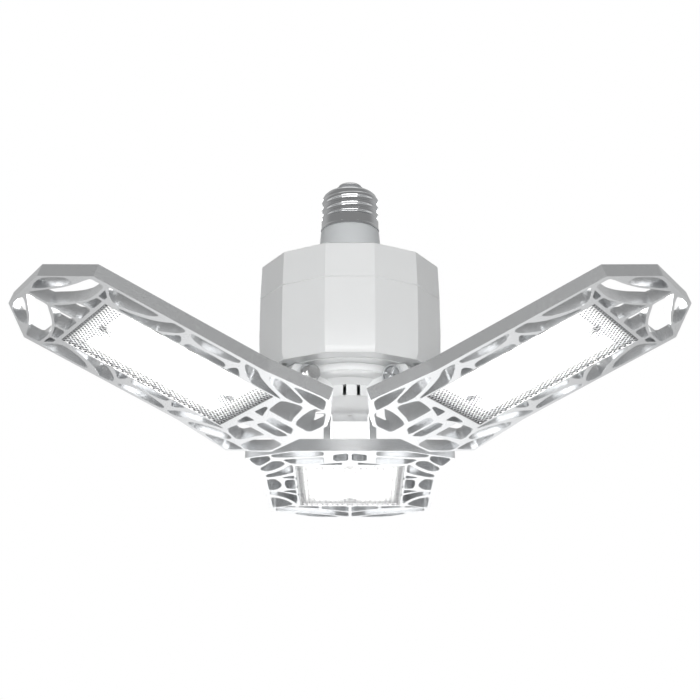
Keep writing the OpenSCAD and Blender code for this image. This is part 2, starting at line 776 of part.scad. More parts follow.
module panel_frame() {
    difference() {
        union() {
            translate([0, 0, face_z]) linear_extrude(height = panel_t) web();
            ear(ear_gap / 2);
            ear(-ear_out);
        }
        translate([0, 0, face_z - over])
            linear_extrude(height = lens_t + over) {
                lens_shape(lens_gap, 0);
                tab_shape(lens_gap);
            }
        translate([0, 0, face_z - over])
            linear_extrude(height = panel_t + 2 * over) lens_shape(0, ledge);
        cross_bar(-ear_out - over, ear_out + over, screw_r + run_gap);
        cross_bar(-ear_out - over, -ear_out + head_pocket_d, head_pocket_r);
        cross_bar(ear_out - nut_seat_d, ear_out + over, nut_r + fit_gap);
        for (x = plate_screw_xs, m = [0, 1])
            mirror([0, m, 0])
                translate([x, plate_screw_w, back_z - plate_screw_l])
                    cylinder(h = plate_screw_l + over, r = plate_screw_r + fit_gap);
    }
}

// The plate behind the frame: its pad fills the window and carries the board
module panel_heat_plate() {
    fin_pitch = (lens_w - 2 * ledge) / (fins - 1);
    fin_in = lens_in + 2 * board_screw_in;
    difference() {
        union() {
            translate([0, 0, face_z + tray_d])
                linear_extrude(height = panel_t - tray_d) lens_shape(0, ledge + fit_gap);
            translate([tray_in + plate_inset, -tray_hw + plate_inset, back_z])
                cube([tray_out - tray_in - 2 * plate_inset, 2 * (tray_hw - plate_inset), plate_t]);
            for (i = [0 : fins - 1])
                translate([fin_in, -lens_w / 2 + ledge + i * fin_pitch - fin_t / 2, plate_top])
                    cube([lens_out - fin_in - board_screw_in, fin_t, fin_h]);
        }
        for (x = board_screw_xs)
            translate([x, 0, face_z + tray_d - over])
                cylinder(h = board_screw_l - board_t + over, r = board_screw_r + fit_gap);
        for (x = plate_screw_xs, m = [0, 1])
            mirror([0, m, 0])
                translate([x, plate_screw_w, back_z - over])
                    cylinder(h = plate_t + 2 * over, r = plate_screw_r + fit_gap);
        translate([lead_x, 0, face_z + tray_d - over])
            cylinder(h = panel_t + plate_t, r = lead_r + lead_gap);
    }
}

module panel_plate_screws() {
    for (x = plate_screw_xs, m = [0, 1])
        mirror([0, m, 0])
            translate([x, plate_screw_w, plate_top]) {
                cylinder(h = plate_screw_head_h, r = plate_screw_head_r);
                translate([0, 0, -plate_t - plate_screw_l + fit_gap])
                    cylinder(h = plate_t + plate_screw_l, r = plate_screw_r);
            }
}

module panel_lens() {
    translate([0, 0, face_z])
        linear_extrude(height = lens_t - fit_gap) {
            lens_shape(0, 0);
            tab_shape(0);
        }
}

module panel_board() {
    difference() {
        translate([0, 0, board_z])
            linear_extrude(height = board_t) lens_shape(0, ledge + board_gap);
        for (x = board_screw_xs)
            translate([x, 0, board_z - over])
                cylinder(h = board_t + 2 * over, r = board_hole_r);
    }
}

module panel_chips() {
    grid_l = lens_l - 2 * (board_screw_in + board_screw_head_r) - 2 * diode_l;
    grid_w = lens_w - 2 * (ledge + board_gap) - 3 * diode_w;
    for (i = [0 : diode_rows - 1], j = [0 : diode_columns - 1])
        translate([(lens_in + lens_out) / 2 + grid_l * (i / (diode_rows - 1) - 0.5) - diode_l / 2,
            grid_w * (j / (diode_columns - 1) - 0.5) - diode_w / 2, board_z - diode_t])
            cube([diode_l, diode_w, diode_t]);
}

module panel_board_screws() {
    for (x = board_screw_xs)
        translate([x, 0, board_z]) {
            translate([0, 0, -board_screw_head_h])
                cylinder(h = board_screw_head_h, r = board_screw_head_r);
            cylinder(h = board_screw_l - fit_gap, r = board_screw_r);
        }
}

module panel_lead() {
    lead_h = plate_top + lead_r;
    wire([[lead_x, 0, face_z + tray_d], [lead_x, 0, lead_h], [ear_r, 0, lead_h]]);
}

module panel_hinge_screw() {
    head_w = -ear_out + head_pocket_d;
    difference() {
        union() {
            cross_bar(head_w - head_h, head_w, head_r);
            cross_bar(head_w - head_h / 2, ear_out - nut_seat_d + nut_l * 0.6, screw_r);
        }
        for (t = cross_turns)
            translate([0, head_w - head_h - over, 0])
                rotate([0, t, 0])
                    translate([-cross_l, 0, -cross_w / 2])
                        cube([2 * cross_l, cross_d + over, cross_w]);
    }
}

module panel_hinge_nut() {
    nut_w = ear_out - nut_seat_d;
    difference() {
        union() {
            cross_bar(nut_w, nut_w + nut_l - nut_edge, nut_r);
            cross_bar(nut_w, nut_w + nut_l, nut_r - nut_edge);
        }
        cross_bar(nut_w - over, nut_w + nut_l * 0.6 + run_gap, screw_r + run_gap);
    }
}

// The three panels

module left_frame() { color("silver") placed(left_az, side_tilt) panel_frame(); }
module left_heat_plate() { color("darkgray") placed(left_az, side_tilt) panel_heat_plate(); }
module left_plate_screws() { color("gray") placed(left_az, side_tilt) panel_plate_screws(); }
module left_lens() { color("azure") placed(left_az, side_tilt) panel_lens(); }
module left_led_board() { color("white") placed(left_az, side_tilt) panel_board(); }
module left_led_chips() { color("khaki") placed(left_az, side_tilt) panel_chips(); }
module left_board_screws() { color("gray") placed(left_az, side_tilt) panel_board_screws(); }
module left_lead() { color("ivory") placed(left_az, side_tilt) panel_lead(); }
module left_hinge_screw() { color("gray") placed(left_az, side_tilt) panel_hinge_screw(); }
module left_hinge_nut() { color("lightgray") placed(left_az, side_tilt) panel_hinge_nut(); }

module right_frame() { color("silver") placed(right_az, side_tilt) panel_frame(); }
module right_heat_plate() { color("darkgray") placed(right_az, side_tilt) panel_heat_plate(); }
module right_plate_screws() { color("gray") placed(right_az, side_tilt) panel_plate_screws(); }
module right_lens() { color("azure") placed(right_az, side_tilt) panel_lens(); }
module right_led_board() { color("white") placed(right_az, side_tilt) panel_board(); }
module right_led_chips() { color("khaki") placed(right_az, side_tilt) panel_chips(); }
module right_board_screws() { color("gray") placed(right_az, side_tilt) panel_board_screws(); }
module right_lead() { color("ivory") placed(right_az, side_tilt) panel_lead(); }
module right_hinge_screw() { color("gray") placed(right_az, side_tilt) panel_hinge_screw(); }
module right_hinge_nut() { color("lightgray") placed(right_az, side_tilt) panel_hinge_nut(); }

module back_frame() { color("silver") placed(back_az, back_tilt) panel_frame(); }
module back_heat_plate() { color("darkgray") placed(back_az, back_tilt) panel_heat_plate(); }
module back_plate_screws() { color("gray") placed(back_az, back_tilt) panel_plate_screws(); }
module back_lens() { color("azure") placed(back_az, back_tilt) panel_lens(); }
module back_led_board() { color("white") placed(back_az, back_tilt) panel_board(); }
module back_led_chips() { color("khaki") placed(back_az, back_tilt) panel_chips(); }
module back_board_screws() { color("gray") placed(back_az, back_tilt) panel_board_screws(); }
module back_lead() { color("ivory") placed(back_az, back_tilt) panel_lead(); }
module back_hinge_screw() { color("gray") placed(back_az, back_tilt) panel_hinge_screw(); }
module back_hinge_nut() { color("lightgray") placed(back_az, back_tilt) panel_hinge_nut(); }

contact_tip();
base_insulator();
screw_shell();
neck();
upper_shell();
lower_shell();
driver_board();
driver_screws();
transformer();
capacitors();
choke_coil();
power_chips();
base_leads();
panel_leads();
hub();
hub_screws();
hinge_washers();
left_frame();
left_heat_plate();
left_plate_screws();
left_lens();
left_led_board();
left_led_chips();
left_board_screws();
left_lead();
left_hinge_screw();
left_hinge_nut();
right_frame();
right_heat_plate();
right_plate_screws();
right_lens();
right_led_board();
right_led_chips();
right_board_screws();
right_lead();
right_hinge_screw();
right_hinge_nut();
back_frame();
back_heat_plate();
back_plate_screws();
back_lens();
back_led_board();
back_led_chips();
back_board_screws();
back_lead();
back_hinge_screw();
back_hinge_nut();
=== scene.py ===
# %% [markdown]
# # A garage light with three folding panels
# The CAD model gives every size and place. This lesson loads it as a fixed
# frame, adds finer surfaces where the real light has them, gives each part its
# material, and lights the whole like a catalogue picture.

# %% Load the frame
import math
import bmesh
import bpy
import numpy as np
from mathutils import Matrix, Vector


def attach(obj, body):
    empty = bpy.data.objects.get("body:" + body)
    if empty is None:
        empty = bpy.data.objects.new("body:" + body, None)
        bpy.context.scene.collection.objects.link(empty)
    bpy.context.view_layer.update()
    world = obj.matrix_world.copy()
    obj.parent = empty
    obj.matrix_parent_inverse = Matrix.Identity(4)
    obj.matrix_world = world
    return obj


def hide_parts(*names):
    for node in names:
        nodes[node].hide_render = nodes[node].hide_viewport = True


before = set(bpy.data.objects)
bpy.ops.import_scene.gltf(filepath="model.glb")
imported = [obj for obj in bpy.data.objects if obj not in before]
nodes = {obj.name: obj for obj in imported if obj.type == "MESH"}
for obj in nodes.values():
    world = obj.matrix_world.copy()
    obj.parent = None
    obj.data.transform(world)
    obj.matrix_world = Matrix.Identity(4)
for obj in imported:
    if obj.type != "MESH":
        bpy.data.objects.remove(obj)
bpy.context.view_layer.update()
print("CAD nodes:", len(nodes))

# %% [markdown]
# ## From arrays to meshes
# Every new piece is an array of points, in millimetres, and an array of faces.
# `foreach_set` is the fastest way to put such arrays into a mesh, but
# `from_pydata` is shorter and quick enough here. One helper numbers the faces
# of a grid. Another finishes any mesh and makes it an object: it merges
# doubles, turns the faces outwards, and smooths all but the sharp edges. The
# third does both, from arrays to an object.

# %% Meshes from arrays
MM = 0.001
DOUBLES = 0.001 * MM


def grid_faces(rows, cols, closed=True):
    """Quads between the points of a grid of rows and columns; closed joins the
    last column to the first."""
    r = np.arange(rows - 1)[:, None]
    c = np.arange(cols if closed else cols - 1)[None, :]
    n = (c + 1) % cols
    quads = np.stack([r * cols + c, r * cols + n, (r + 1) * cols + n, (r + 1) * cols + c], -1)
    return quads.reshape(-1, 4).tolist()


def finish_mesh(name, mesh, sharp, doubles=DOUBLES):
    """Merges doubles, turns faces outwards, and smooths every edge whose angle,
    in degrees, is less than sharp."""
    work = bmesh.new()
    work.from_mesh(mesh)
    bmesh.ops.remove_doubles(work, verts=work.verts, dist=doubles)
    bmesh.ops.recalc_face_normals(work, faces=work.faces)
    for face in work.faces:
        face.smooth = True
    for edge in work.edges:
        if len(edge.link_faces) == 2:
            edge.smooth = edge.calc_face_angle(0.0) < math.radians(sharp)
    work.to_mesh(mesh)
    work.free()
    obj = bpy.data.objects.new(name, mesh)
    bpy.context.scene.collection.objects.link(obj)
    return obj


def piece(name, points, faces, sharp):
    """Points in millimetres and faces as index lists become a finished object."""
    mesh = bpy.data.meshes.new(name)
    mesh.from_pydata((np.asarray(points) * MM).tolist(), [], faces)
    return finish_mesh(name, mesh, sharp)


print("faces of a closed grid of 3 rows and 4 columns:", len(grid_faces(3, 4)))

# %% [markdown]
# ## Finishes with grain
# Moulded plastic is never quite flat: a fine grain breaks up its gloss. Rolled
# metal has fine scratches along the way it was worked. A plain colour and one
# roughness would look like paint on glass, so each finish is a Principled
# shader with noise for its roughness, its colour and its bump. The noise reads
# object coordinates, so that the grain has its real size.

# %% A finish
LEAST_ROUGHNESS = 0.02
TINT = 0.02
CLOUDS_PER_METRE = 45
COLOR_A, COLOR_B, COLOR_OUT = 6, 7, 2   # a Mix node's sockets for colours


def material(name, color, roughness, metallic=0.0, grain=0.0, grain_size=0.4, spread=0.05,
             stretch=(1, 1, 1), **sockets):
    """A finish: noise of the grain's size moves the roughness up and down by the
    spread and lifts the surface by the grain, and larger clouds of noise shade
    the colour by the tint. The grain and its size are in millimetres."""
    mat = bpy.data.materials.new(name)
    mat.use_nodes = True
    tree = mat.node_tree
    bsdf = tree.nodes["Principled BSDF"]
    bsdf.inputs["Base Color"].default_value = (*color, 1)
    bsdf.inputs["Metallic"].default_value = metallic
    for socket, value in sockets.items():
        bsdf.inputs[socket.replace("_", " ")].default_value = value
    where = tree.nodes.new("ShaderNodeTexCoord")
    scale = tree.nodes.new("ShaderNodeMapping")
    scale.inputs["Scale"].default_value = stretch
    noise = tree.nodes.new("ShaderNodeTexNoise")
    noise.inputs["Scale"].default_value = 1 / (grain_size * MM)
    noise.inputs["Detail"].default_value = 3
    tree.links.new(where.outputs["Object"], scale.inputs["Vector"])
    tree.links.new(scale.outputs["Vector"], noise.inputs["Vector"])
    rough = tree.nodes.new("ShaderNodeMapRange")
    rough.inputs["To Min"].default_value = max(roughness - spread, LEAST_ROUGHNESS)
    rough.inputs["To Max"].default_value = roughness + spread
    tree.links.new(noise.outputs["Fac"], rough.inputs["Value"])
    tree.links.new(rough.outputs["Result"], bsdf.inputs["Roughness"])
    cloud = tree.nodes.new("ShaderNodeTexNoise")
    cloud.inputs["Scale"].default_value = CLOUDS_PER_METRE
    tree.links.new(where.outputs["Object"], cloud.inputs["Vector"])
    shade = tree.nodes.new("ShaderNodeMix")
    shade.data_type = "RGBA"
    shade.inputs[COLOR_A].default_value = (*[c * (1 - TINT) for c in color], 1)
    shade.inputs[COLOR_B].default_value = (*[min(c * (1 + TINT), 1) for c in color], 1)
    tree.links.new(cloud.outputs["Fac"], shade.inputs["Factor"])
    tree.links.new(shade.outputs[COLOR_OUT], bsdf.inputs["Base Color"])
    if grain:
        bump = tree.nodes.new("ShaderNodeBump")
        bump.inputs["Strength"].default_value = 1.0
        bump.inputs["Distance"].default_value = grain * MM
        tree.links.new(noise.outputs["Fac"], bump.inputs["Height"])
        tree.links.new(bump.outputs["Normal"], bsdf.inputs["Normal"])
    return mat


def dress(obj, finish):
    """Puts one finish on an object, and on every slot that it has."""
    if not obj.data.materials:
        obj.data.materials.append(finish)
    for i in range(len(obj.data.materials)):
        obj.data.materials[i] = finish


def stands_for(obj, node, finish, body):
    """Dresses a new piece, hides the CAD node that it stands for, and lets the
    piece ride on its body."""
    dress(obj, finish)
    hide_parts(node)
    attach(obj, body)


nickel = material("nickel_plate", (0.68, 0.69, 0.70), roughness=0.09, metallic=1.0,
                  grain=0.001, grain_size=0.9, spread=0.02, stretch=(1, 1, 4))
print("nodes in one finish:", len(nickel.node_tree.nodes))

# %% [markdown]
# ## The screw shell
# The shell is sheet brass, rolled into a thread and plated with nickel. A
# Screw modifier could spin its profile, but one surface gives more control:
# its radius depends on the height and the angle. The thread is a wave that
# runs along the height and falls back by one pitch in each turn, and it fades
# out at the band and at the shoulder. The sizes repeat the CAD model's. The
# origin is on the centre line, at half the height of the smooth band.

# %% Sizes of the screw shell
BAND_R, BAND_H = 13.1, 4.0
BAND_TOP = BAND_H / 2
RIM_H, RIM_OUT, RIM_EDGE = 1.2, 0.3, 0.3
CREST_H, PITCH, TURNS, RUN_OUT = 0.6, 3.63, 3, 0.1
CORE_R = BAND_R - CREST_H
SHOULDER_R, SHOULDER_H = 11.0, 1.9
SHELL_WALL, LEAST_WALL = 0.5, 0.35
RIM_BOTTOM = -BAND_H / 2 - RIM_H
THREAD_TOP = BAND_TOP + (TURNS + RUN_OUT) * PITCH
SHOULDER_TOP = THREAD_TOP + SHOULDER_H
PLATE_IN, CREST_IN = 0.02, 0.05         # how far band and crests stay inside the CAD's
THREAD_START, FADE_START, FADE_L = 0.9, 0.2, 1.1
PROFILE = np.array([                    # the shell without its thread: height, radius
    (RIM_BOTTOM, BAND_R + RIM_OUT),
    (-BAND_H / 2 - RIM_EDGE, BAND_R + RIM_OUT),
    (-BAND_H / 2 + 0.35, BAND_R - PLATE_IN),
    (BAND_TOP - 0.2, BAND_R - PLATE_IN),
    (BAND_TOP + 0.7, CORE_R),
    (THREAD_TOP - 0.3, CORE_R),
    (THREAD_TOP + 0.9, CORE_R - 0.45),
    (SHOULDER_TOP, SHOULDER_R)])
print("thread from", round(BAND_TOP, 2), "to", round(THREAD_TOP, 2), "mm")

# %% Screw shell
SHELL_ROWS, SHELL_COLS = 150, 144


def shell_radius(z, a):
    """The profile's radius at the height, plus the thread: a rounded wave of
    (height / pitch - angle / full turn), times a fade at both ends."""
    plain = np.interp(z, PROFILE[:, 0], PROFILE[:, 1])
    turn = (z - BAND_TOP - THREAD_START) / PITCH - a / (2 * np.pi)
    wave = 0.5 - 0.5 * np.cos(2 * np.pi * turn)
    fade = (np.clip((z - BAND_TOP - FADE_START) / FADE_L, 0, 1)
            * np.clip((THREAD_TOP + FADE_START - z) / FADE_L, 0, 1))
    crest = np.minimum(BAND_R - CREST_IN - plain, CREST_H)
    return plain + crest * fade * (3 * wave ** 2 - 2 * wave ** 3)


height = np.linspace(RIM_BOTTOM, SHOULDER_TOP, SHELL_ROWS)[:, None]
angle = np.linspace(0, 2 * np.pi, SHELL_COLS, endpoint=False)[None, :]
outer = shell_radius(height, angle)
bore = np.interp(height,
                 [RIM_BOTTOM, THREAD_TOP - SHELL_WALL, SHOULDER_TOP - SHELL_WALL, SHOULDER_TOP],
                 [CORE_R - SHELL_WALL] * 2 + [SHOULDER_R - SHELL_WALL] * 2)
inner = np.minimum(bore, outer - LEAST_WALL)
skins = [np.stack([r * np.cos(angle), r * np.sin(angle), z + 0 * angle], -1)
         for r, z in ((outer, height), (inner[::-1], height[::-1]))]
skin = np.concatenate([skins[0], skins[1], skins[0][:1]])
shell = piece("threaded_shell", skin.reshape(-1, 3), grid_faces(len(skin), SHELL_COLS), 50)
stands_for(shell, "screw_shell", nickel, "base")
print("shell faces:", len(shell.data.polygons))

# %% [markdown]
# ## The insulator and the tip
# Both are turned parts with soft edges: pressed glass, and a solder button. A
# Screw modifier on a curve would turn them too, but the corners would still
# have to be softened by hand. Here each outline is a short closed list of
# corners, softened by small parabolas and carried round the centre line, so
# the piece is closed by itself.

# %% Turned parts
MOST_OF_A_SIDE = 0.45                   # how much of a side one corner may take


def soft_corners(points, cut, steps):
    """Each corner of a closed outline becomes a short parabola: it starts a
    length cut before the corner, ends as far after it, and leans towards the
    corner between."""
    p = np.asarray(points, float)
    back, ahead = np.roll(p, 1, 0) - p, np.roll(p, -1, 0) - p
    back_l = np.linalg.norm(back, axis=1)
    ahead_l = np.linalg.norm(ahead, axis=1)
    reach = np.minimum(cut, MOST_OF_A_SIDE * np.minimum(back_l, ahead_l))[:, None]
    start = p + back / back_l[:, None] * reach
    end = p + ahead / ahead_l[:, None] * reach
    t = np.linspace(0, 1, steps)[None, :, None]
    arcs = (1 - t) ** 2 * start[:, None] + 2 * t * (1 - t) * p[:, None] + t ** 2 * end[:, None]
    return arcs.reshape(-1, 2)


def turned(name, outline, segments, sharp=60):
    """A turned part: the closed outline of (radius, height) pairs is carried
    round the centre line; x = r cos a, y = r sin a, z = height."""
    o = np.vstack([outline, outline[:1]])
    a = np.linspace(0, 2 * np.pi, segments, endpoint=False)
    pts = np.stack([o[:, :1] * np.cos(a), o[:, :1] * np.sin(a),
                    np.repeat(o[:, 1:], segments, 1)], -1).reshape(-1, 3)
    return piece(name, pts, grid_faces(len(o), segments), sharp)


print("points of a softened square:", len(soft_corners([(0, 0), (1, 0), (1, 1), (0, 1)], 0.2, 4)))

# %% Insulator and tip
SEAT = SHOULDER_TOP - SHELL_WALL        # the shoulder's inner face
GLASS_DEPTH, GLASS_BORE_R, GLASS_GAP = 1.9, 1.9, 0.15
GLASS_R = SHOULDER_R - SHELL_WALL - GLASS_GAP
TIP_Z = SEAT + 4.6
STEM_R, BUTTON_R, BUTTON_H = 1.55, 5.28, 1.29
ON_AXIS = 0.001                         # just off the axis, where the points then merge
base_glass = material("base_glass_grey", (0.33, 0.34, 0.36), roughness=0.42, grain=0.004,
                      grain_size=0.5)
glass_outline = soft_corners([
    (GLASS_BORE_R, SEAT - GLASS_DEPTH), (GLASS_R, SEAT - GLASS_DEPTH), (GLASS_R, SEAT + 0.5),
    (9.5, SEAT + 1.3), (7.7, SEAT + 2.4), (6.4, SEAT + 3.6), (5.4, TIP_Z - 0.05),
    (GLASS_BORE_R, TIP_Z - 0.05)], cut=0.7, steps=5)
insulator = turned("glass_insulator", glass_outline, 72)
stands_for(insulator, "base_insulator", base_glass, "base")

tip_metal = material("tinned_tip", (0.70, 0.70, 0.70), roughness=0.5, metallic=0.8, grain=0.006,
                     grain_size=0.3)
tip_outline = soft_corners([
    (ON_AXIS, SEAT - GLASS_DEPTH), (STEM_R, SEAT - GLASS_DEPTH), (STEM_R, TIP_Z),
    (BUTTON_R, TIP_Z), (BUTTON_R, TIP_Z + 0.45), (4.5, TIP_Z + 1.0), (2.9, TIP_Z + BUTTON_H),
    (ON_AXIS, TIP_Z + BUTTON_H)], cut=0.3, steps=4)
tip = turned("solder_tip", tip_outline, 64)
stands_for(tip, "contact_tip", tip_metal, "base")
print("tip's top at", round(TIP_Z + BUTTON_H, 2), "mm")

# %% [markdown]
# ## The housing, the neck and the hub
# The housing is moulded with flat facets, and a mould always leaves a small
# radius between them. The CAD shells are right in every size, so they need no
# new surface: a merged copy of each gets a Bevel, which rounds the facets'
# edges and opens a fine groove at the seam. A Weighted Normal modifier keeps
# the facets flat. The neck is a turned part, and the hub is a copy like the
# housing.

# %% A copy of a CAD node with rounded edges
CAD_DOUBLES = 0.002 * MM
FLAT_ANGLE = math.radians(0.5)


def cad_copy(node, name, width, segments, angle):
    """A merged copy of a CAD node whose edges over the angle, in degrees, are
    rounded to the width, in millimetres."""
    work = bmesh.new()
    work.from_mesh(nodes[node].data)
    bmesh.ops.remove_doubles(work, verts=work.verts, dist=CAD_DOUBLES)
    bmesh.ops.dissolve_limit(work, angle_limit=FLAT_ANGLE, verts=work.verts,
                             edges=work.edges, delimit={"NORMAL"})
    mesh = bpy.data.meshes.new(name)
    work.to_mesh(mesh)
    work.free()
    obj = finish_mesh(name, mesh, sharp=30, doubles=CAD_DOUBLES)
    bevel = obj.modifiers.new("rounded_edges", "BEVEL")
    bevel.width = width * MM
    bevel.segments = segments
    bevel.limit_method = "ANGLE"
    bevel.angle_limit = math.radians(angle)
    obj.modifiers.new("weights", "WEIGHTED_NORMAL")
    return obj


print("a copy dissolves angles under", round(math.degrees(FLAT_ANGLE), 2), "degrees")

# %% Housing, neck and hub
housing_white = material("housing_plastic", (0.86, 0.87, 0.87), roughness=0.3, grain=0.005,
                         grain_size=0.22)
hub_white = material("hub_plastic", (0.84, 0.85, 0.85), roughness=0.34, grain=0.005,
                     grain_size=0.22)
neck_white = material("neck_plastic", (0.66, 0.68, 0.69), roughness=0.36, grain=0.006,
                      grain_size=0.25)
for node, width, finish, slot in (("upper_shell", 0.5, housing_white, "housing_plastic"),
                                  ("lower_shell", 0.5, housing_white, "housing_plastic"),
                                  ("hub", 0.35, hub_white, "hub_plastic"),
                                  ("neck", 0.3, neck_white, "neck_plastic")):
    moulded = cad_copy(node, node + "_moulded", width, segments=3, angle=22)
    stands_for(moulded, node, finish, "base")
    print(node, "faces:", len(moulded.data.polygons))

# %% [markdown]
# ## The panels' frames
# A frame is one casting: a rim, and ribs that swing round the lens like a
# leaf's veins. The openings between the ribs could be cut here with Booleans,
# but the CAD model has them already. So the copy keeps that drawing, and the
# Bevel gives the ribs the small radius that catches the light as a bright
# line. The finish is a silver paint, which is partly metal.

# %% Frames
# each panel's azimuth and its tilt above level, in degrees
PANELS = {"left": (210, 20.0), "right": (330, 20.0), "back": (90, -1.6)}
panel_silver = material("panel_silver", (0.80, 0.81, 0.82), roughness=0.27, metallic=0.85,
                        grain=0.004, grain_size=0.12, spread=0.04)
for side in PANELS:
    casting = cad_copy(side + "_frame", side + "_casting", 0.3, segments=2, angle=30)
    stands_for(casting, side + "_frame", panel_silver, side + "_panel")
    print(side, "casting faces:", len(casting.data.polygons))

# %% [markdown]
# ## The prismatic lenses
# The lens is clear plastic, flat inside and quilted outside, and each small
# dome spreads the light. A bump texture could fake the domes, but as real
# geometry they bend what is seen through them, and they are cheap: one height
# field over a grid, closed by its flat inner face. A panel is worked out lying
# level, with its hinge at the origin, and is put in its place at the end.

# %% A panel's place
HINGE_R, HINGE_Z = 27.1, -78.1


def panel_matrix(side):
    """Tilts about the hinge, moves out to it, and turns about the centre line."""
    azimuth, tilt = PANELS[side]
    return (Matrix.Rotation(math.radians(azimuth), 4, "Z")
            @ Matrix.Translation((HINGE_R * MM, 0, HINGE_Z * MM))
            @ Matrix.Rotation(math.radians(-tilt), 4, "Y"))


print("left hinge at", [round(v / MM, 1) for v in panel_matrix("left").to_translation()], "mm")

# %% The quilted surface
FACE = -24.1                            # the frame's lower face, below the hinge
LENS_IN, LENS_L, LENS_W, LENS_T = 16.6, 78.4, 50.9, 1.9
DOME, DOME_H, DOME_STEPS, PLAIN_EDGE = 2.55, 0.3, 4, 0.8


def dome_count(length):
    """How many whole domes fit between the plain edges."""
    return int((length - 2 * PLAIN_EDGE) // DOME)


def quilted(name, side):
    """The outer face stands at FACE + DOME_H * (1 - s(x) s(y)), where s is the
    squared sine of pi * distance / dome, so each dome's tip lies in the frame's
    face plane. The domes start inside the plain edge."""
    axes = []
    for length, start in ((LENS_L, LENS_IN), (LENS_W, -LENS_W / 2)):
        count = dome_count(length)
        run = np.linspace(0, 1, count * DOME_STEPS + 1)
        domes = PLAIN_EDGE + run * (length - 2 * PLAIN_EDGE)
        axes.append((np.concatenate([[0], domes, [length]]) + start,
                     np.concatenate([[0], np.sin(np.pi * run * count) ** 2, [0]])))
    (l, wave_l), (w, wave_w) = axes
    grid_l, grid_w = np.meshgrid(l, w, indexing="ij")
    face = FACE + DOME_H * (1 - np.outer(wave_l, wave_w))
    border = [0, 1, -2, -1]
    face[border] = FACE
    face[:, border] = FACE
    rows, cols = grid_l.shape
    outside = np.stack([grid_l, grid_w, face], -1).reshape(-1, 3)
    faces = grid_faces(rows, cols, False)
    top = FACE + LENS_T
    corners = np.array([[l[0], w[0], top], [l[-1], w[0], top],
                        [l[-1], w[-1], top], [l[0], w[-1], top]])
    n = len(outside)
    index = np.arange(n).reshape(rows, cols)
    rims = [index[:, 0], index[-1, :], index[::-1, -1], index[0, ::-1]]
    faces += [rim.tolist() + [n + (k + 1) % 4, n + k] for k, rim in enumerate(rims)]
    faces.append([n, n + 1, n + 2, n + 3])
    obj = piece(name, np.vstack([outside, corners]), faces, 40)
    obj.data.transform(panel_matrix(side))
    return obj


print("domes on one lens:", dome_count(LENS_L) * dome_count(LENS_W))

# %% [markdown]
# ## Values through a shader
# The lenses and the boards need patterns that follow the panel, wherever it
# is. An attribute painted on each mesh would do, but sums on coordinates stay
# sharp at any distance. A Mapping node with the inverse of the panel's matrix
# gives the place along, across and above the panel, and two helpers make
# chains of Math nodes and smooth steps from one line each.

# %% Shader helpers
def local_axes(tree, side):
    """Object coordinates, moved back by the inverse of the panel's matrix, as a
    vector and as separate outputs along, across and above the panel."""
    inverse = panel_matrix(side).inverted()
    where = tree.nodes.new("ShaderNodeTexCoord")
    flat = tree.nodes.new("ShaderNodeMapping")
    flat.inputs["Location"].default_value = inverse.to_translation()
    flat.inputs["Rotation"].default_value = inverse.to_euler()
    tree.links.new(where.outputs["Object"], flat.inputs["Vector"])
    axes = tree.nodes.new("ShaderNodeSeparateXYZ")
    tree.links.new(flat.outputs["Vector"], axes.inputs[0])
    return flat.outputs["Vector"], axes.outputs["X"], axes.outputs["Y"], axes.outputs["Z"]


def chain(tree, last, *steps):
    """Sends a value through Math nodes, each given as (operation, second, third)."""
    for operation, *rest in steps:
        node = tree.nodes.new("ShaderNodeMath")
        node.operation = operation
        tree.links.new(last, node.inputs[0])
        for i, value in enumerate(rest, 1):
            if isinstance(value, (int, float)):
                node.inputs[i].default_value = value
            else:
                tree.links.new(value, node.inputs[i])
        last = node.outputs[0]
    return last


def step_up(tree, value, low, high, start=0.0, end=1.0):
    """A smooth step from start, where the value is low, to end, where it is high."""
    node = tree.nodes.new("ShaderNodeMapRange")
    node.interpolation_type = "SMOOTHSTEP"
    for socket, number in (("From Min", low), ("From Max", high),
                           ("To Min", start), ("To Max", end)):
        node.inputs[socket].default_value = number
    tree.links.new(value, node.inputs["Value"])
    return node.outputs["Result"]


back_turn = panel_matrix("left").inverted().to_euler()
print("the left panel's axes are turned back by", [round(math.degrees(v), 1) for v in back_turn])

# %% [markdown]
# ## Painted dark dots in the lens's border
# Over the lit board a prism is white, but near the lens's edge it bends the
# view to the tray's dark wall, so each prism there has a dark middle. Ray
# tracing finds some of this by itself, yet it needs far more samples than it
# is worth. So this shade is painted into the lens's colour as dots: a product
# of two waves that keep step with the domes, kept to the edges where the
# picture shows them, and to the places of the board's two screws.

# %% The room to the edge
WIDER_ENDS = 0.9                        # makes the border wider at the ends
FAR_EDGE = {"left": 1.0, "right": -1.0}


def edge_room(tree, side, x, y):
    """The distance to the nearest edge that shows dots: both ends, and the far
    long edge of a side panel or both long edges of the back panel."""
    ends = chain(tree, x, ("SUBTRACT", (LENS_IN + LENS_L / 2) * MM), ("ABSOLUTE",),
                 ("MULTIPLY_ADD", -WIDER_ENDS, WIDER_ENDS * LENS_L / 2 * MM))
    if side in FAR_EDGE:
        across = chain(tree, y, ("MULTIPLY_ADD", FAR_EDGE[side], LENS_W / 2 * MM))
    else:
        across = chain(tree, y, ("ABSOLUTE",), ("MULTIPLY_ADD", -1.0, LENS_W / 2 * MM))
    return chain(tree, ends, ("MINIMUM", across))


print("panels with dots on one long edge:", list(FAR_EDGE))

# %% The lens's finish and its painted shade dots
DOT_BORDER, DOT_EDGE, SCREW_ROOM, SCREW_IN = 8.5, 1.5, 6.0, 9.0
DOT_FULL = 0.2                          # the product from which a dot is fully dark
OUTER_LOW, OUTER_HIGH = FACE + 0.5, FACE + 0.7  # between the domes and the inner face
# painted shade: near black, for the tray's wall and the screws seen through the prisms
PAINTED_SHADE_DOT_COLOR = (0.006, 0.007, 0.009, 1)


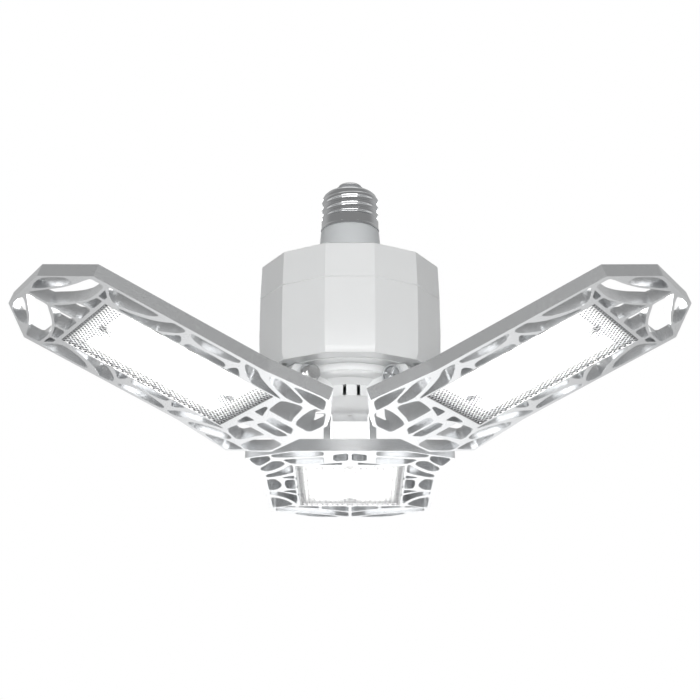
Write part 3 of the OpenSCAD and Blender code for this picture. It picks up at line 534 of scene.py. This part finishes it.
def prism_with_painted_dots(side):
    """Clear plastic with painted shade: its outer face goes dark where it is level,
    at each dome's tip and at the corners between four domes, within the border
    and round the two screws that show through it: (1 - 2 s(x)) (1 - 2 s(y)) is
    high there. The dark dots are painted, and stand for the tray's dark wall and
    the screws as seen through the prisms."""
    mat = material(side + "_prism_clear", (0.98, 0.99, 1.0), roughness=0.06, grain=0.003,
                   grain_size=0.6, spread=0.03, Transmission_Weight=1.0, IOR=1.49,
                   Specular_IOR_Level=0.2)
    tree = mat.node_tree
    place, x, y, z = local_axes(tree, side)
    levels = []
    for value, length, start in ((x, LENS_L, LENS_IN), (y, LENS_W, -LENS_W / 2)):
        pitch = (length - 2 * PLAIN_EDGE) / dome_count(length) * MM
        levels.append(chain(tree, value, ("SUBTRACT", (start + PLAIN_EDGE) * MM),
                            ("MULTIPLY", math.pi / pitch), ("SINE",), ("POWER", 2.0),
                            ("MULTIPLY_ADD", -2.0, 1.0)))
    outer_face = step_up(tree, z, OUTER_LOW * MM, OUTER_HIGH * MM, 1.0, 0.0)
    level = chain(tree, levels[0], ("MULTIPLY", levels[1]), ("MULTIPLY", outer_face))
    dot = step_up(tree, level, 0.0, DOT_FULL)
    near = step_up(tree, edge_room(tree, side, x, y), (DOT_BORDER - DOT_EDGE) * MM,
                   DOT_BORDER * MM, 1.0, 0.0)
    for screw_x in (LENS_IN + SCREW_IN, LENS_IN + LENS_L - SCREW_IN):
        away = tree.nodes.new("ShaderNodeVectorMath")
        away.operation = "DISTANCE"
        away.inputs[1].default_value = (screw_x * MM, 0, FACE * MM)
        tree.links.new(place, away.inputs[0])
        round_screw = step_up(tree, away.outputs["Value"], (SCREW_ROOM - DOT_EDGE) * MM,
                              SCREW_ROOM * MM, 1.0, 0.0)
        near = chain(tree, round_screw, ("MAXIMUM", near))
    # mixes the painted shade dots into the lens's base colour
    dark = tree.nodes.new("ShaderNodeMix")
    dark.data_type = "RGBA"
    dark.inputs[COLOR_B].default_value = PAINTED_SHADE_DOT_COLOR
    bsdf = tree.nodes["Principled BSDF"]
    tree.links.new(bsdf.inputs["Base Color"].links[0].from_socket, dark.inputs[COLOR_A])
    tree.links.new(chain(tree, dot, ("MULTIPLY", near)), dark.inputs["Factor"])
    tree.links.new(dark.outputs[COLOR_OUT], bsdf.inputs["Base Color"])
    return mat


print("dots reach", DOT_BORDER, "mm in from the edge")

# %% Lenses
for side in PANELS:
    lens = quilted(side + "_quilted_lens", side)
    stands_for(lens, side + "_lens", prism_with_painted_dots(side), side + "_panel")
print("faces of one lens:", len(lens.data.polygons))

# %% [markdown]
# ## Boards and diodes
# The diodes glow, and the white board spreads their light. One strength all
# over would drown the dots, so the board's glow falls off towards the edges
# that show them, and each lens is brightest in the middle. The CAD nodes have
# the right shape already, so they only get a finish.

# %% Boards, diodes and leads
GLOW_EDGE, GLOW_MIDDLE = 0.5, 2.0
EDGE_IN, MIDDLE_IN = 1.0, 6.0


def board_glow(side):
    """White solder mask whose emission rises smoothly from just inside the
    edges that show dots to the middle."""
    mat = material(side + "_board_glow", (0.92, 0.92, 0.90), roughness=0.4, grain=0.002,
                   grain_size=0.3, Emission_Color=(1, 0.99, 0.98, 1))
    tree = mat.node_tree
    _, x, y, _ = local_axes(tree, side)
    rise = step_up(tree, edge_room(tree, side, x, y), EDGE_IN * MM, MIDDLE_IN * MM,
                   GLOW_EDGE, GLOW_MIDDLE)
    tree.links.new(rise, tree.nodes["Principled BSDF"].inputs["Emission Strength"])
    return mat


diode_glow = material("diode_glow", (1.0, 0.96, 0.84), roughness=0.4, grain=0.003, grain_size=0.5,
                      Emission_Color=(1, 0.985, 0.96, 1), Emission_Strength=5.0)
white_wire = material("white_insulation", (0.74, 0.74, 0.72), roughness=0.45, grain=0.004)
for side in PANELS:
    dress(nodes[side + "_led_board"], board_glow(side))
    dress(nodes[side + "_led_chips"], diode_glow)
    dress(nodes[side + "_lead"], white_wire)
print("boards that glow:", len(PANELS))

# %% [markdown]
# ## Plates and fasteners
# The heat plates are rolled aluminium with a brushed look along one way, and
# the screws and nuts are plated with zinc and nickel. Their CAD shapes are
# right, but their edges are perfectly sharp, which no real edge is. So each
# gets a merged copy with a narrow Bevel, as the housing did.

# %% Plates and fasteners
plate_metal = material("plate_aluminium", (0.74, 0.75, 0.76), roughness=0.36, metallic=1.0,
                       grain=0.008, grain_size=0.5, spread=0.08, stretch=(1, 6, 1))
screw_zinc = material("screw_zinc", (0.55, 0.56, 0.57), roughness=0.32, metallic=1.0, grain=0.004,
                      grain_size=0.3)
nut_metal = material("nut_nickel", (0.60, 0.60, 0.60), roughness=0.26, metallic=1.0, grain=0.003)
for side in PANELS:
    for kind, finish, slot, width in (("heat_plate", plate_metal, "plate_aluminium", 0.2),
                                      ("board_screws", screw_zinc, "screw_steel", 0.1),
                                      ("plate_screws", screw_zinc, "screw_steel", 0.1),
                                      ("hinge_screw", screw_zinc, "screw_steel", 0.2),
                                      ("hinge_nut", nut_metal, "nut_nickel", 0.3)):
        node = side + "_" + kind
        part = cad_copy(node, node + "_finished", width, segments=2, angle=30)
        stands_for(part, node, finish, side + "_panel")
    print(side, "hinge nut faces:", len(part.data.polygons))

# %% [markdown]
# ## Inside the housing
# The driver's parts show only through the vents, and when someone opens the
# model. Their shapes are simple on the real board too: blocks, cans and a
# ring. So they keep their CAD meshes and get finishes alone, each with the
# grain of its own stuff, such as tape, lacquered copper and shrink sleeve.

# %% Finishes inside the housing
driver_mask = material("driver_green_mask", (0.03, 0.16, 0.07), roughness=0.3, grain=0.003)
winding_tape = material("winding_tape", (0.62, 0.42, 0.05), roughness=0.45, grain=0.01,
                        grain_size=0.6, spread=0.08, stretch=(1, 1, 6))
sleeve = material("capacitor_sleeve", (0.02, 0.025, 0.06), roughness=0.3, grain=0.004,
                  grain_size=0.5)
copper = material("copper_winding", (0.62, 0.25, 0.11), roughness=0.3, metallic=0.8, grain=0.05,
                  grain_size=0.5, spread=0.06, stretch=(1, 1, 8))
chip_black = material("chip_moulding", (0.02, 0.02, 0.02), roughness=0.5, grain=0.006,
                      grain_size=0.1)
red_wire = material("red_insulation", (0.45, 0.02, 0.02), roughness=0.45, grain=0.004)
for node, finish in (("driver_board", driver_mask), ("driver_screws", screw_zinc),
                     ("transformer", winding_tape), ("capacitors", sleeve),
                     ("choke_coil", copper), ("power_chips", chip_black),
                     ("base_leads", red_wire), ("panel_leads", white_wire),
                     ("hub_screws", screw_zinc), ("hinge_washers", nut_metal)):
    dress(nodes[node], finish)
print("finishes:", len(bpy.data.materials))

# %% [markdown]
# ## The floor
# The light hangs, so the plain pale floor is far below it. It would come out
# grey under lamps that are right for the object, so what the camera and the
# reflections see of it is mostly a paper white that needs no lamp, while
# other rays see plain paint, which keeps the shadow. In the reflections the
# floor behind the object is brighter in the middle than at its sides, as a
# lit backdrop is, and that gives the silver panels their bright faces.

# %% Floor
FLOOR_REACH, FLOOR_Z, FLOOR_LINES = 6.0, -1.6, 9
PAPER_SHARE = 0.8
SWEEP_NEAR, SWEEP_FAR, SWEEP_MIDDLE, SWEEP_SIDES = 0.5, 1.8, 1.9, 0.55
BEHIND_START, BEHIND_FULL = 0.8, 1.6


def mix_shaders(tree, factor, first, second):
    """A Mix Shader that gives the second where the factor is 1."""
    both = tree.nodes.new("ShaderNodeMixShader")
    tree.links.new(factor, both.inputs["Fac"])
    tree.links.new(first, both.inputs[1])
    tree.links.new(second, both.inputs[2])
    return both.outputs[0]


lines = np.linspace(-FLOOR_REACH, FLOOR_REACH, FLOOR_LINES)
gx, gy = np.meshgrid(lines, lines, indexing="ij")
floor_points = np.stack([gx, gy, np.full(gx.shape, FLOOR_Z)], -1).reshape(-1, 3)
floor_mesh = bpy.data.meshes.new("floor")
floor_mesh.from_pydata(floor_points.tolist(), [],
                       [f[::-1] for f in grid_faces(FLOOR_LINES, FLOOR_LINES, False)])
floor = bpy.data.objects.new("floor", floor_mesh)
bpy.context.scene.collection.objects.link(floor)

floor_paint = material("floor_paint", (0.82, 0.82, 0.82), roughness=0.7, grain_size=20)
tree = floor_paint.node_tree
paper = tree.nodes.new("ShaderNodeEmission")
ray = tree.nodes.new("ShaderNodeLightPath")
spot = tree.nodes.new("ShaderNodeTexCoord")
across = tree.nodes.new("ShaderNodeSeparateXYZ")
tree.links.new(spot.outputs["Object"], across.inputs[0])
off_middle = chain(tree, across.outputs["X"], ("ABSOLUTE",))
sweep = step_up(tree, off_middle, SWEEP_NEAR, SWEEP_FAR, SWEEP_MIDDLE, SWEEP_SIDES)
behind = step_up(tree, across.outputs["Y"], BEHIND_START, BEHIND_FULL)
mirrored = chain(tree, ray.outputs["Is Glossy Ray"], ("MULTIPLY", behind))
level = chain(tree, sweep, ("SUBTRACT", 1.0), ("MULTIPLY_ADD", mirrored, 1.0))
tree.links.new(level, paper.inputs["Strength"])
direct = chain(tree, ray.outputs["Is Camera Ray"], ("MAXIMUM", ray.outputs["Is Glossy Ray"]),
               ("MULTIPLY", PAPER_SHARE))
tree.links.new(mix_shaders(tree, direct, tree.nodes["Principled BSDF"].outputs[0],
                           paper.outputs[0]), tree.nodes["Material Output"].inputs["Surface"])
dress(floor, floor_paint)
print("floor at", FLOOR_Z, "m")

# %% [markdown]
# ## The world
# The background is white, but a white world would flood the object with
# light. So the camera, and rays through the clear lenses, see a white of
# strength 1, and all other rays see a soft grey that is brighter behind the
# object than in front: a white all round would wash out the nickel and the
# silver paint. Diffuse rays get about half of the grey, so that the facets of
# the housing keep their shades.

# %% World
WORLD_FRONT, WORLD_REAR, FRONT_Y, REAR_Y = 0.3, 0.5, -0.15, 0.55
DIFFUSE_CUT = 0.45
world = bpy.data.worlds.new("studio")
bpy.context.scene.world = world
world.use_nodes = True
tree = world.node_tree
grey = tree.nodes["Background"]
grey.inputs["Color"].default_value = (1, 1, 1, 1)
white = tree.nodes.new("ShaderNodeBackground")
white.inputs["Color"].default_value = (1, 1, 1, 1)
white.inputs["Strength"].default_value = 1.0
direction = tree.nodes.new("ShaderNodeTexCoord")
split = tree.nodes.new("ShaderNodeSeparateXYZ")
tree.links.new(direction.outputs["Generated"], split.inputs[0])
behind = step_up(tree, split.outputs["Y"], FRONT_Y, REAR_Y, WORLD_FRONT, WORLD_REAR)
ray = tree.nodes.new("ShaderNodeLightPath")
level = chain(tree, ray.outputs["Is Diffuse Ray"], ("MULTIPLY_ADD", -DIFFUSE_CUT, 1.0),
              ("MULTIPLY", behind))
tree.links.new(level, grey.inputs["Strength"])
seen = chain(tree, ray.outputs["Is Camera Ray"], ("MAXIMUM", ray.outputs["Is Transmission Ray"]))
tree.links.new(mix_shaders(tree, seen, grey.outputs[0], white.outputs[0]),
               tree.nodes["World Output"].inputs["Surface"])
print("world strength from", WORLD_FRONT, "in front to", WORLD_REAR, "behind")

# %% [markdown]
# ## The lamps
# A catalogue picture is lit by large soft boxes, whose shadows have no hard
# edge. A point lamp's shadows would be hard, so these are area lamps. A wide
# low one in front shades the facets from the middle out, a small one below
# lifts the undersides, and a wide one behind and a weak one above keep the
# back and the top readable in other views.

# %% Lamps
AIM = (0, 0, -0.05)


def softbox(name, place, size, watts):
    """An area lamp of a width and a height at place that shines at the housing."""
    lamp = bpy.data.lights.new(name, "AREA")
    lamp.shape = "RECTANGLE"
    lamp.size, lamp.size_y = size
    lamp.energy = watts
    obj = bpy.data.objects.new(name, lamp)
    obj.location = place
    obj.rotation_euler = (Vector(AIM) - Vector(place)).to_track_quat("-Z", "Y").to_euler()
    bpy.context.scene.collection.objects.link(obj)


softbox("front", place=(0.0, -1.5, -0.1), size=(1.8, 0.45), watts=18)
softbox("below", place=(0.0, 0.2, -0.36), size=(0.12, 0.12), watts=0.4)
softbox("rear", place=(0.0, 1.5, 0.3), size=(1.8, 0.6), watts=13)
softbox("top", place=(0.0, 0.3, 1.6), size=(1.2, 1.2), watts=2.5)
print("lamps:", len(bpy.data.lights))

# %% [markdown]
# ## The camera
# The camera looks up from below, as in the picture: it stands 0.61 m in front
# and 0.2 m under the housing's middle. Its distance, its rise and its focal
# length come from fitting the edges of the housing and the panels to the
# picture, so they are numbers here and not a guess by eye.

# %% Camera
IMAGE, FOCAL_PIXELS, SENSOR = 700, 1437.1, 36
DISTANCE, RISE, AIM_Z = 642.15, math.radians(17.96), -59.6
camera = bpy.data.cameras.new("camera")
camera.sensor_width = SENSOR
camera.lens = FOCAL_PIXELS / IMAGE * SENSOR
camera.clip_start = 0.01
eye = bpy.data.objects.new("camera", camera)
eye.location = (0, -DISTANCE * math.cos(RISE) * MM, (AIM_Z - DISTANCE * math.sin(RISE)) * MM)
look = Vector((0, math.cos(RISE), math.sin(RISE)))
eye.rotation_euler = look.to_track_quat("-Z", "Y").to_euler()
bpy.context.scene.collection.objects.link(eye)
bpy.context.scene.camera = eye
bpy.context.scene.view_settings.view_transform = "Standard"
print("camera at", [round(v, 4) for v in eye.location])

# %% [markdown]
# ## The last update
# The view layer is brought up to date, so that every piece stands in its place.

# %% Bring the view layer up to date
bpy.context.view_layer.update()
